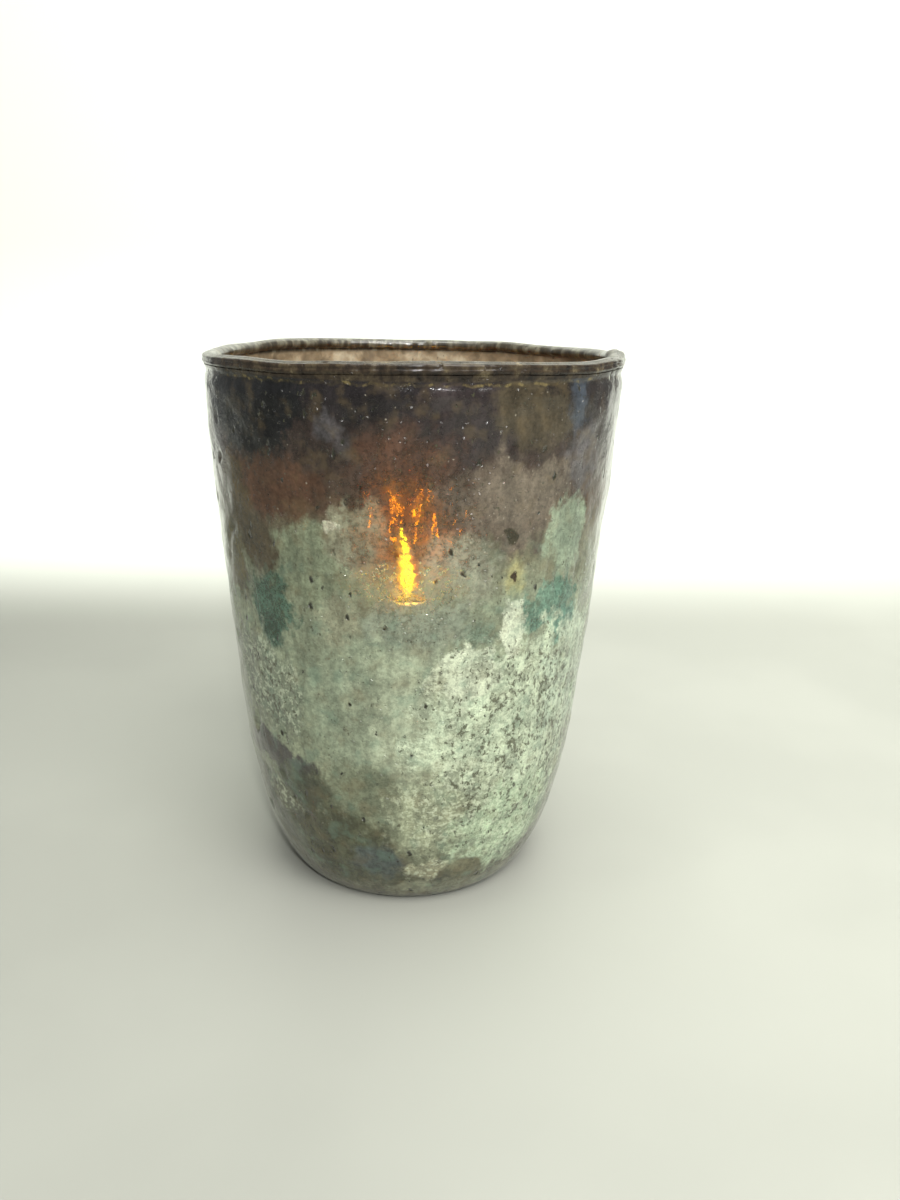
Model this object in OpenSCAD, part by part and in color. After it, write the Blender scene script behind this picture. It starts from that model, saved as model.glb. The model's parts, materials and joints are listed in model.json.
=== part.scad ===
// Blown glass candle holder with a moving-flame wax candle standing in it.
// Origin at the centre of the glass foot, +Z up, the leaning flame seen from -Y.

/* [Glass] */
// Height of the glass over its lip
glass_h = 165; // [150:1:180]
// Diameter over the rolled lip
lip_d = 125; // [115:1:135]
// Thickness of the blown wall
wall_t = 3.2; // [2.5:0.1:4]
// Thickness of the floor over the foot
floor_t = 9; // [7:0.5:12]
// Thickness of the rolled lip
lip_t = 5; // [4:0.2:6]
// How much narrower the wall is at its foot than at the lip
taper = 14.2; // [12:0.1:17]
// How far the wall turns in under its heel
heel_w = 13; // [10:0.5:14]
// Height at which the heel starts to turn in
heel_h = 58; // [45:1:65]

/* [Candle] */
// Diameter of the wax pillar
wax_d = 50; // [48:1:56]
// Height of the wax pillar
wax_h = 84; // [82:1:88]
// Thickness of the wax wall
wax_t = 3.6; // [3:0.1:4]
// Depth of the melted dish in the top
dish_h = 5.5; // [4:0.5:6]
// Diameter of the opening that the flame swings in
flame_hole_d = 14; // [13:0.5:16]

/* [Flame] */
// Height of the flame above the wire that it swings on
flame_h = 26; // [22:0.5:28]
// Width of the flame at its widest
flame_w = 8.6; // [7:0.2:9]
// Thickness of the flame
flame_t = 1.8; // [1.4:0.1:2.2]
// How far the tip of the flame leans to the left
flame_lean = 2.8; // [0:0.2:4]

/* [Power] */
// Diameter of a cell, size AAA
cell_d = 10.5; // [10.5:0.1:10.5]
// Length of a cell over its button
cell_h = 44.5; // [44.5:0.1:44.5]
// Distance between the centres of the two cells
cell_gap = 12; // [11.6:0.1:12.4]
// Diameter of the twist-lock battery door
door_d = 25.6; // [25.4:0.1:26]
// Travel of the switch knob from off through on to timer
switch_travel = 4; // [3:0.5:4]

/* [Hidden] */
$fn = 96;
gap = 0.3;       // running gap between pieces that move past each other
eps = 0.5;       // overshoot of a cutting shape past the face it cuts

// Glass
lip_r = lip_d / 2 - lip_t / 2;
wall_top_r = lip_d / 2 - 0.2;
taper_p = 1.3;
foot_r = wall_top_r - taper - heel_w;
foot_ring_t = 9;
foot_dip = 1.2;
wall_h = glass_h - lip_t / 2;
wall_steps = 28;
wall_crowd = 1.6;
floor_step = ceil(wall_steps * pow(floor_t / wall_h, 1 / wall_crowd));
inner_heel_r = 12;

// Wax pillar
wax_r = wax_d / 2;
wax_z = floor_t;
wax_top = wax_z + wax_h;
cavity_r = wax_r - wax_t;
ceiling_z = wax_top - dish_h - wax_t;
shoulder_r = 2.2;

// Battery case
case_recess = 1.8;
case_z = wax_z + case_recess;
plate_t = 2.4;
plate_r = cavity_r - 0.2;
chamber_z = case_z + plate_t;
chamber_h = 4.4;
chamber_r = door_d / 2 + 2;
chamber_wall = 1.4;
deck_t = 1.6;
deck_z = chamber_z + chamber_h;
cell_r = cell_d / 2;
cell_z = deck_z - 0.4;
cell_top = cell_z + cell_h;
well_r = cell_r + 0.25;
tower_r = well_r + 1.3;
contact_h = 3;
tower_top = cell_top + contact_h + 1.4;
post_r = 2.6;
post_ring = 16.4;
post_turn = 30;
pilot_r = 1.05;
pilot_h = 12;
rib_t = 1.2;
rib_in = 8;
rib_drop = 6;

// Electronics and flame drive
board_z = tower_top + 1.2;
board_t = 1.2;
board_r = 19.6;
coil_z = board_z + board_t;
coil_h = 5;
core_d = 5;
flange_t = 0.8;
cradle_t = 1.6;
cradle_z = ceiling_z - 4.2;
cradle_r = 19.6;
pivot_z = ceiling_z + 1.5;
wire_r = 0.4;
magnet_d = 6;
magnet_h = 3;
magnet_z = coil_z + coil_h + 1.8;
ear_y = 4.6;
ear_t = 1.4;
hub_l = 2 * ear_y - ear_t - 2 * gap;
screw_r = 1;

// Door, switch and lamp
door_sunk = 0.4;
door_z = case_z + door_sunk;
disc_t = plate_t - door_sunk;
lug_w = 1.5;
lug_t = 1.2;
lug_angle = 44;
neck_h = lug_t + 0.9;
switch_y = 18.3;
switch_l = 8.4;
switch_w = 3.4;
switch_h = 4.2;
switch_seat = case_z + 1.2;
knob_l = 3.2;
knob_w = 1.8;
lamp_r = 1.5;
lamp_y = 7.9;
lamp_tilt = 22;

// Outer radius of the glass at a height: a slow taper with a heel turned in at the foot
function heel_in(z) = let (u = max(0, 1 - z / heel_h)) heel_w * (1 - sqrt(1 - u * u));
function outer_r(z) = wall_top_r - taper * pow(1 - z / glass_h, taper_p) - heel_in(z);

// Heights of the wall's points, closer together where the heel turns in
function wall_z(i) = wall_h * pow(i / wall_steps, wall_crowd);

// Inner radius: the wall's thickness inside, with a round corner at the floor
function corner_in(z) = let (u = max(0, 1 - (z - floor_t) / inner_heel_r))
    inner_heel_r * (1 - sqrt(max(0, 1 - u * u)));
function inner_r(z) = outer_r(z) - wall_t - corner_in(z);

// Half the width of the flame at a share of its height, and where its middle line lies
function flame_half(s) = flame_w / 2 * pow(sin(180 * pow(s, 0.62)), 0.8);
function flame_mid(s) = -flame_lean * pow(s, 1.6);

// Sector of a disc, centred on an angle
module sector(r, h, middle, spread) {
    reach = 2 * r;
    corners = [
        [0, 0],
        [reach * cos(middle - spread / 2), reach * sin(middle - spread / 2)],
        [reach * cos(middle), reach * sin(middle)],
        [reach * cos(middle + spread / 2), reach * sin(middle + spread / 2)]
    ];
    intersection() {
        cylinder(r = r, h = h);
        linear_extrude(h) polygon(corners);
    }
}

// Places what follows on the three screw posts
module at_posts() {
    for (i = [0 : 2])
        rotate([0, 0, post_turn + 120 * i])
            translate([post_ring, 0, 0])
                children();
}

// Wire wound from a start radius to an end radius while it climbs
module coil_spring(r0, r1, h, turns, wire) {
    sides = 8;
    steps = 14 * turns;
    points = [
        for (i = [0 : steps], k = [0 : sides - 1])
            let (s = i / steps, a = 360 * turns * s, b = 360 * k / sides)
            let (r = r0 + (r1 - r0) * s + wire * cos(b))
            [r * cos(a), r * sin(a), wire + (h - 2 * wire) * s + wire * sin(b)]
    ];
    walls = [
        for (i = [0 : steps - 1], k = [0 : sides - 1])
            let (n = (k + 1) % sides)
            [i * sides + k, i * sides + n, (i + 1) * sides + n, (i + 1) * sides + k]
    ];
    ends = [
        [for (k = [0 : sides - 1]) sides - 1 - k],
        [for (k = [0 : sides - 1]) steps * sides + k]
    ];
    polyhedron(points, concat(ends, walls));
}

// Blown tumbler: tapered wall, heavy heel, dipped foot and a round lip
module glass_vessel() {
    outer = [for (i = [0 : wall_steps]) [outer_r(wall_z(i)), wall_z(i)]];
    inner = [for (i = [wall_steps : -1 : floor_step]) [inner_r(wall_z(i)), wall_z(i)]];
    floor_edge = [[outer_r(floor_t) - wall_t - inner_heel_r, floor_t], [0, floor_t]];
    foot = [[0, foot_dip], [foot_r - foot_ring_t - foot_dip, foot_dip], [foot_r - foot_ring_t, 0]];
    color([0.45, 0.5, 0.42, 0.6])
        union() {
            rotate_extrude()
                polygon(concat(foot, outer, inner, floor_edge));
            translate([0, 0, wall_h])
                rotate_extrude()
                    translate([lip_r, 0])
                        circle(d = lip_t, $fn = 40);
        }
}

// Hollow wax pillar, open below, with a melted dish and an opening for the flame
module wax_shell() {
    dish_r = wax_r - 3.4;
    dish_steps = 8;
    shoulder = [
        for (i = [0 : 4])
            [wax_r - shoulder_r + shoulder_r * cos(22.5 * i), wax_top - shoulder_r + shoulder_r * sin(22.5 * i)]
    ];
    dish = [
        for (i = [0 : dish_steps])
            let (s = i / dish_steps)
            [dish_r - (dish_r - flame_hole_d / 2) * s, wax_top - dish_h * (1 - pow(1 - s, 2.4)) - 0.2 * s]
    ];
    under = [
        [flame_hole_d / 2, ceiling_z],
        [cavity_r, ceiling_z],
        [cavity_r, wax_z],
        [wax_r - 0.6, wax_z],
        [wax_r, wax_z + 0.6]
    ];
    color("ivory")
        rotate_extrude()
            polygon(concat(shoulder, dish, under));
}

// Case for the two cells: base plate, door chamber, cell wells and screw posts
module battery_case() {
    color("whitesmoke")
        difference() {
            union() {
                translate([0, 0, case_z])
                    cylinder(r = plate_r, h = plate_t);
                translate([0, 0, chamber_z])
                    cylinder(r = chamber_r + chamber_wall, h = chamber_h + deck_t);
                for (side = [-1, 1])
                    translate([side * cell_gap / 2, 0, deck_z])
                        cylinder(r = tower_r, h = tower_top - deck_z);
                translate([-cell_gap / 2, -tower_r, deck_z])
                    cube([cell_gap, 2 * tower_r, tower_top - deck_z]);
                at_posts()
                    translate([0, 0, chamber_z - eps])
                        cylinder(r = post_r, h = board_z - chamber_z + eps);
                for (a = [post_turn, post_turn + 120])
                    rotate([0, 0, a])
                        translate([rib_in, -rib_t / 2, deck_z])
                            cube([post_ring - rib_in, rib_t, tower_top - deck_z - rib_drop]);
                translate([-rib_t / 2, -post_ring, deck_z])
                    cube([rib_t, post_ring - tower_r + 1, tower_top - deck_z - rib_drop]);
            }
            translate([0, 0, case_z - eps])
                cylinder(d = door_d + 2 * gap, h = plate_t + 2 * eps);
            translate([0, 0, chamber_z])
                cylinder(r = chamber_r, h = chamber_h);
            for (side = [0, 180])
                translate([0, 0, case_z - eps])
                    sector(door_d / 2 + lug_w + 2 * gap, plate_t + 2 * eps, side + 60, lug_angle + 6);
            for (side = [-1, 1])
                translate([side * cell_gap / 2, 0, chamber_z + eps])
                    cylinder(r = well_r, h = cell_top + contact_h - chamber_z - eps);
            for (side = [-1, 1])
                translate([side * cell_gap / 2 - 1.4, -0.4, cell_top])
                    cube([2.8, 0.8, tower_top - cell_top + eps]);
            translate([-switch_l / 2 - 0.1, switch_y - switch_w / 2 - 0.1, switch_seat])
                cube([switch_l + 0.2, switch_w + 0.2, plate_t]);
            translate([-(knob_l + switch_travel) / 2 - gap, switch_y - knob_w / 2 - gap, case_z - eps])
                cube([knob_l + switch_travel + 2 * gap, knob_w + 2 * gap, plate_t + eps]);
            at_posts()
                translate([0, 0, board_z - pilot_h])
                    cylinder(r = pilot_r, h = pilot_h + eps);
        }
}

// Plate over the board: legs, two ears for the wire and a seat for the lamp
module flame_cradle() {
    leg_z = board_z + board_t;
    ear_w = 4.4;
    ear_over = 1.3;
    window_w = 13;
    color("whitesmoke")
        difference() {
            union() {
                translate([0, 0, cradle_z])
                    cylinder(r = cradle_r, h = cradle_t);
                at_posts()
                    translate([0, 0, leg_z])
                        cylinder(r = post_r, h = cradle_z - leg_z + cradle_t);
                for (side = [-1, 1])
                    translate([-ear_w / 2, side * ear_y - ear_t / 2, cradle_z])
                        cube([ear_w, ear_t, pivot_z - cradle_z + ear_over]);
            }
            translate([-window_w / 2, -ear_y + ear_t / 2, cradle_z - eps])
                cube([window_w, 2 * ear_y - ear_t, cradle_t + 2 * eps]);
            translate([0, 0, pivot_z])
                rotate([90, 0, 0])
                    cylinder(r = wire_r + 0.05, h = 3 * ear_y, center = true, $fn = 24);
            translate([0, lamp_y, cradle_z + cradle_t / 2])
                rotate([lamp_tilt, 0, 0])
                    cylinder(r = lamp_r + 0.15, h = 12, center = true, $fn = 32);
            at_posts()
                translate([0, 0, leg_z - eps])
                    cylinder(r = screw_r + 0.15, h = cradle_z - leg_z + cradle_t + 2 * eps);
        }
}

// Three pan-head screws that hold cradle, board and case together
module case_screws() {
    head_h = 1.4;
    grip_l = 8;
    shank_l = cradle_z + cradle_t - board_z + grip_l;
    color("silver")
        at_posts()
            translate([0, 0, cradle_z + cradle_t]) {
                difference() {
                    cylinder(r = 2, h = head_h);
                    for (turn = [0, 90])
                        rotate([0, 0, turn])
                            translate([-1.3, -0.25, head_h - 0.8])
                                cube([2.6, 0.5, 1]);
                }
                translate([0, 0, -shank_l])
                    cylinder(r = screw_r, h = shank_l);
            }
}

// Round circuit board with holes for the posts' screws and the switch wires
module circuit_board() {
    color("darkgreen")
        difference() {
            translate([0, 0, board_z])
                cylinder(r = board_r, h = board_t);
            at_posts()
                translate([0, 0, board_z - eps])
                    cylinder(r = screw_r + 0.15, h = board_t + 2 * eps);
        }
}

// Controller chip with its two rows of legs
module controller_chip() {
    chip_w = 4;
    chip_l = 5;
    leg_pitch = 1.27;
    color("dimgray")
        translate([-10.5, -chip_l / 2, coil_z]) {
            translate([-chip_w / 2, 0, 0.15])
                cube([chip_w, chip_l, 1.5]);
            for (side = [-1, 1], i = [0 : 3])
                translate([side * 2.5 - 0.5, 0.4 + leg_pitch * i, 0])
                    cube([1, 0.4, 0.6]);
        }
}

// Round electrolytic capacitor standing clear of the coil
module filter_capacitor() {
    can_h = 4.6;
    color("black")
        translate([11.2, -3, coil_z]) {
            cylinder(d = 5, h = can_h);
            translate([0, 0, can_h])
                cylinder(d = 4.2, h = 0.3);
        }
}

// Spool for the drive winding
module coil_bobbin() {
    color("white")
        translate([0, 0, coil_z])
            difference() {
                union() {
                    cylinder(d = 12, h = flange_t);
                    cylinder(d = core_d, h = coil_h);
                    translate([0, 0, coil_h - flange_t])
                        cylinder(d = 12, h = flange_t);
                }
                translate([0, 0, -eps])
                    cylinder(d = 3, h = coil_h + 2 * eps);
            }
}

// Copper winding between the spool's flanges
module coil_winding() {
    color("peru")
        translate([0, 0, coil_z + flange_t])
            difference() {
                cylinder(d = 11, h = coil_h - 2 * flange_t);
                translate([0, 0, -eps])
                    cylinder(d = core_d, h = coil_h);
            }
}

// Clear lamp that leans in to shine on the flame, with its two legs
module flame_lamp() {
    body_h = 3.6;
    rim_t = 0.6;
    leg_t = 0.4;
    leg_l = 2.4;
    color([1, 0.9, 0.6, 0.8])
        translate([0, lamp_y, cradle_z + cradle_t / 2])
            rotate([lamp_tilt, 0, 0])
                translate([0, 0, -1.6]) {
                    cylinder(r = lamp_r, h = body_h, $fn = 32);
                    translate([0, 0, body_h])
                        sphere(r = lamp_r, $fn = 32);
                    translate([0, 0, -rim_t])
                        cylinder(r = 1.9, h = rim_t, $fn = 32);
                    for (side = [-1, 1])
                        translate([side * 0.63 - leg_t / 2, -leg_t / 2, -0.4 - leg_l])
                            cube([leg_t, leg_t, leg_l]);
                }
}

// Steel wire that the flame swings on
module pivot_wire() {
    color("silver")
        translate([0, 0, pivot_z])
            rotate([90, 0, 0])
                cylinder(r = wire_r, h = 2 * ear_y + ear_t + 1, center = true, $fn = 24);
}

// Thin moulded flame with its wire hole and the tail that carries the magnet
module flame_paddle() {
    steps = 24;
    right = [
        for (i = [1 : steps - 1])
            let (s = i / steps) [flame_mid(s) + flame_half(s), flame_h * s]
    ];
    left = [
        for (i = [steps - 1 : -1 : 1])
            let (s = i / steps) [flame_mid(s) - flame_half(s), flame_h * s]
    ];
    tail_l = pivot_z - magnet_z - magnet_h;
    color([1, 0.75, 0.3, 0.9])
        translate([0, 0, pivot_z])
            difference() {
                union() {
                    rotate([90, 0, 0])
                        linear_extrude(flame_t, center = true)
                            polygon(concat(right, [[flame_mid(1), flame_h]], left, [[-1, 0], [1, 0]]));
                    rotate([90, 0, 0])
                        cylinder(r = 1.3, h = hub_l, center = true);
                    translate([-1.1, -flame_t / 2, -tail_l])
                        cube([2.2, flame_t, tail_l]);
                    translate([0, 0, -tail_l])
                        cylinder(d = 4.4, h = 1);
                }
                rotate([90, 0, 0])
                    cylinder(r = wire_r + 0.1, h = hub_l + 2 * eps, center = true, $fn = 24);
            }
}

// Disc magnet under the tail
module flame_magnet() {
    color("silver")
        translate([0, 0, magnet_z])
            cylinder(d = magnet_d, h = magnet_h);
}

// One AAA cell standing on its button or on its flat end
module cell(side, button_up) {
    button_d = 3.6;
    button_h = 1.2;
    can_h = cell_h - button_h;
    can_z = button_up ? cell_z : cell_z + button_h;
    button_z = button_up ? cell_z + can_h : cell_z;
    color("slategray")
        translate([side * cell_gap / 2, 0, 0]) {
            translate([0, 0, can_z])
                cylinder(d = cell_d, h = can_h);
            translate([0, 0, button_z])
                cylinder(d = button_d, h = button_h);
        }
}

// Coil spring on the flat end of the left cell, on its solder plate
module negative_spring() {
    plate_z = cell_top + contact_h;
    color("silver")
        translate([-cell_gap / 2, 0, 0]) {
            translate([0, 0, plate_z - 0.3])
                cylinder(r = 4, h = 0.3);
            translate([-1.2, -0.25, plate_z - 0.1])
                cube([2.4, 0.5, board_z - plate_z + 0.1]);
            translate([0, 0, cell_top + 0.05])
                coil_spring(2, 3.5, contact_h - 0.25, 3, 0.25);
        }
}

// Plate with a dimple on the button of the right cell
module positive_contact() {
    plate_z = cell_top + contact_h;
    color("silver")
        translate([cell_gap / 2, 0, 0]) {
            translate([0, 0, plate_z - 0.3])
                cylinder(r = 4, h = 0.3);
            translate([0, 0, cell_top + 0.05])
                cylinder(r = 1.5, h = contact_h - 0.1);
            translate([-1.2, -0.25, plate_z - 0.1])
                cube([2.4, 0.5, board_z - plate_z + 0.1]);
        }
}

// Sprung plate on the door that joins the lower ends of the cells
module bridge_contact() {
    plate_z = door_z + disc_t + neck_h;
    spring_h = cell_z - plate_z - 0.4;
    color("silver")
        translate([0, 0, plate_z]) {
            translate([-cell_gap / 2, -3, 0])
                cube([cell_gap, 6, 0.3]);
            for (side = [-1, 1])
                translate([side * cell_gap / 2, 0, 0]) {
                    cylinder(r = 4, h = 0.3);
                    translate([0, 0, 0.25])
                        coil_spring(3.4, 2.4, spring_h, 2, 0.2);
                }
        }
}

// Twist-lock door with two lugs and a coin slot
module battery_door() {
    slot_l = 16;
    slot_w = 1.8;
    slot_h = 1.2;
    color("whitesmoke")
        translate([0, 0, door_z])
            difference() {
                union() {
                    cylinder(d = door_d, h = disc_t + neck_h);
                    for (side = [0, 180])
                        translate([0, 0, disc_t + gap + 0.2])
                            sector(door_d / 2 + lug_w, lug_t, side, lug_angle);
                }
                translate([-slot_l / 2, -slot_w / 2, -eps])
                    cube([slot_l, slot_w, slot_h + eps]);
            }
}

// Metal can of the slide switch, open below for its knob
module switch_body() {
    color("silver")
        difference() {
            translate([-switch_l / 2, switch_y - switch_w / 2, switch_seat])
                cube([switch_l, switch_w, switch_h]);
            translate([-(knob_l + switch_travel) / 2 - gap, switch_y - knob_w / 2 - gap, switch_seat - eps])
                cube([knob_l + switch_travel + 2 * gap, knob_w + 2 * gap, 2.4 + eps]);
        }
}

// Knob of the slide switch, sunk in the base plate and stored in its middle place
module switch_knob() {
    knob_h = 3;
    groove_w = 0.4;
    groove_pitch = 0.9;
    color("dimgray")
        translate([-knob_l / 2, switch_y - knob_w / 2, case_z + 0.2])
            difference() {
                cube([knob_l, knob_w, knob_h]);
                for (i = [-1 : 1])
                    translate([knob_l / 2 - groove_w / 2 + groove_pitch * i, -eps, -eps])
                        cube([groove_w, knob_w + 2 * eps, groove_w + eps]);
            }
}

// Two insulated leads from the switch up to the board
module switch_wires() {
    top_of_switch = switch_seat + switch_h;
    color("firebrick")
        for (x = [-2.5, 2.5])
            translate([x, switch_y, top_of_switch])
                cylinder(r = 0.6, h = board_z - top_of_switch, $fn = 24);
}

glass_vessel();
wax_shell();
battery_case();
flame_cradle();
case_screws();
circuit_board();
controller_chip();
filter_capacitor();
coil_bobbin();
coil_winding();
flame_lamp();
pivot_wire();
flame_paddle();
flame_magnet();
cell(-1, false);  // battery_left
cell(1, true);  // battery_right
negative_spring();
positive_contact();
bridge_contact();
battery_door();
switch_body();
switch_knob();
switch_wires();
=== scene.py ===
import json
import math

import bmesh
import bpy
from mathutils import Matrix, Vector, noise


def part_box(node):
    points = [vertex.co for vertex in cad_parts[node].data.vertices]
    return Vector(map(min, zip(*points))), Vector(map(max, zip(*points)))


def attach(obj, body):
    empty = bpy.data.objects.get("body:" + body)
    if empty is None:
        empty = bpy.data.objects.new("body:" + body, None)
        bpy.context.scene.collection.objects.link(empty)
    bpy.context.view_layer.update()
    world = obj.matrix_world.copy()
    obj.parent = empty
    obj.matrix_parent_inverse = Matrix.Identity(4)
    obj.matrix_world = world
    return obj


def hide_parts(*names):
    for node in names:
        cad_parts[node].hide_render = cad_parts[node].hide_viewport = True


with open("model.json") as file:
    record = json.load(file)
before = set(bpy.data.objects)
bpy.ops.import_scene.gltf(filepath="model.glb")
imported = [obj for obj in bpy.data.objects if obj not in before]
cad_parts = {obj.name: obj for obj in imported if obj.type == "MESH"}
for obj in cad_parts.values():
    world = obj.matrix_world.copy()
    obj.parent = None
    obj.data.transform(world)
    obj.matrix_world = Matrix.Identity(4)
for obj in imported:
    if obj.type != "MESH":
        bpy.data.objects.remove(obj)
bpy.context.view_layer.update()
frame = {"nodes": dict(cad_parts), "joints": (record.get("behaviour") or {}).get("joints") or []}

bl_info = {
    "name": "Antique glass candle holder",
    "version": (1, 0, 0),
    "blender": (4, 5, 0),
    "location": "3D View > Sidebar > Candle Holder",
    "description": "Blown tumbler with an aged coating and a swaying-flame wax pillar",
    "category": "Add Mesh",
}

MM = 0.001
GLASS_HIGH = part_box("glass_vessel")[1]
WAX_LOW, WAX_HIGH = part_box("wax_shell")
PADDLE_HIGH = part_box("flame_paddle")[1]
GLASS_H = GLASS_HIGH[2]
RIM_R = GLASS_HIGH[0]
FLOOR_Z = WAX_LOW[2]
WAX_R = WAX_HIGH[0]
WAX_TOP = WAX_HIGH[2]
SWAY_Z = next(j for j in frame["joints"] if j["name"] == "flame_sway")["pos_m"][2]


# ---------------------------------------------------------------- settings

class GlassSettings(bpy.types.PropertyGroup):
    """Sizes of the blown glass that a glassblower would vary"""
    wall: bpy.props.FloatProperty(
        name="Wall", description="Thickness of the blown wall", default=3.2 * MM, unit="LENGTH")
    taper: bpy.props.FloatProperty(
        name="Taper", description="How much narrower the wall is at its foot",
        default=14.2 * MM, unit="LENGTH")
    heel_width: bpy.props.FloatProperty(
        name="Heel width", description="How far the wall turns in under its heel",
        default=13 * MM, unit="LENGTH")
    heel_height: bpy.props.FloatProperty(
        name="Heel height", description="Height at which the heel starts to turn in",
        default=58 * MM, unit="LENGTH")
    lip: bpy.props.FloatProperty(
        name="Lip", description="Thickness of the rolled lip", default=5 * MM, unit="LENGTH")
    lip_wave: bpy.props.FloatProperty(
        name="Lip wave", description="How far the lip rises and falls round the rim",
        default=0.75 * MM, unit="LENGTH")
    lean: bpy.props.FloatProperty(
        name="Lean", description="How far the mouth stands to the right of the foot",
        default=1.6 * MM, unit="LENGTH")
    ripple: bpy.props.FloatProperty(
        name="Ripple", description="Depth of the uneven places in the blown wall",
        default=0.42 * MM, unit="LENGTH")
    dents: bpy.props.FloatProperty(
        name="Dents", description="Depth of the long dents in the wall",
        default=0.5 * MM, unit="LENGTH")
    relief: bpy.props.FloatProperty(
        name="Relief", description="Depth of the pits and the fine relief",
        default=0.35 * MM, unit="LENGTH")


class WaxSettings(bpy.types.PropertyGroup):
    """The wax pillar"""
    colour: bpy.props.FloatVectorProperty(
        name="Wax", description="Colour of the wax", subtype="COLOR", default=(0.77, 0.67, 0.46))
    dish: bpy.props.FloatProperty(
        name="Dish", description="Depth of the melted dish", default=5.5 * MM, unit="LENGTH")
    opening: bpy.props.FloatProperty(
        name="Opening", description="Radius of the opening for the flame",
        default=7 * MM, unit="LENGTH")
    melt: bpy.props.FloatProperty(
        name="Melt", description="Unevenness of the melted rim", default=0.7 * MM, unit="LENGTH")


class FlameSettings(bpy.types.PropertyGroup):
    """The moulded flame and its light"""
    core: bpy.props.FloatVectorProperty(
        name="Core", description="Colour of the flame's bright middle", subtype="COLOR",
        default=(1.0, 0.52, 0.004))
    edge: bpy.props.FloatVectorProperty(
        name="Edge", description="Colour of the flame's edge", subtype="COLOR",
        default=(1.0, 0.15, 0.002))
    strength: bpy.props.FloatProperty(
        name="Strength", description="Brightness of the flame's middle", default=36.0)
    half_width: bpy.props.FloatProperty(
        name="Half width", description="Half the flame's width at its widest",
        default=3.5 * MM, unit="LENGTH")
    lean: bpy.props.FloatProperty(
        name="Lean", description="How far the flame's tip leans to the left",
        default=2.8 * MM, unit="LENGTH")


class StageSettings(bpy.types.PropertyGroup):
    """Floor, backdrop and camera"""
    floor: bpy.props.FloatVectorProperty(
        name="Floor", description="Colour of the floor", subtype="COLOR",
        default=(0.37, 0.375, 0.335))
    wall: bpy.props.FloatVectorProperty(
        name="Wall", description="Colour of the backdrop", subtype="COLOR",
        default=(0.83, 0.85, 0.78))
    distance: bpy.props.FloatProperty(
        name="Distance", description="From the camera to the glass's axis",
        default=0.3088, unit="LENGTH")
    above: bpy.props.FloatProperty(
        name="Above", description="Height of the camera over the lip",
        default=0.0175, unit="LENGTH")
    pitch: bpy.props.FloatProperty(
        name="Pitch", description="How far the camera looks down", default=math.radians(17.29),
        subtype="ANGLE")
    yaw: bpy.props.FloatProperty(
        name="Yaw", description="How far the camera looks to the right",
        default=math.radians(2.45), subtype="ANGLE")
    roll: bpy.props.FloatProperty(
        name="Roll", description="How far the camera is turned about its own axis",
        default=math.radians(0.9), subtype="ANGLE")
    lens: bpy.props.FloatProperty(
        name="Lens", description="Focal length in millimetres", default=30.0)


# ---------------------------------------------------------------- materials

def srgb(red, green, blue):
    """A colour given as 0 to 255 screen values, as linear light."""
    def light(value):
        share = value / 255
        return share / 12.92 if share <= 0.04045 else ((share + 0.055) / 1.055) ** 2.4
    return light(red), light(green), light(blue), 1.0


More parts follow.
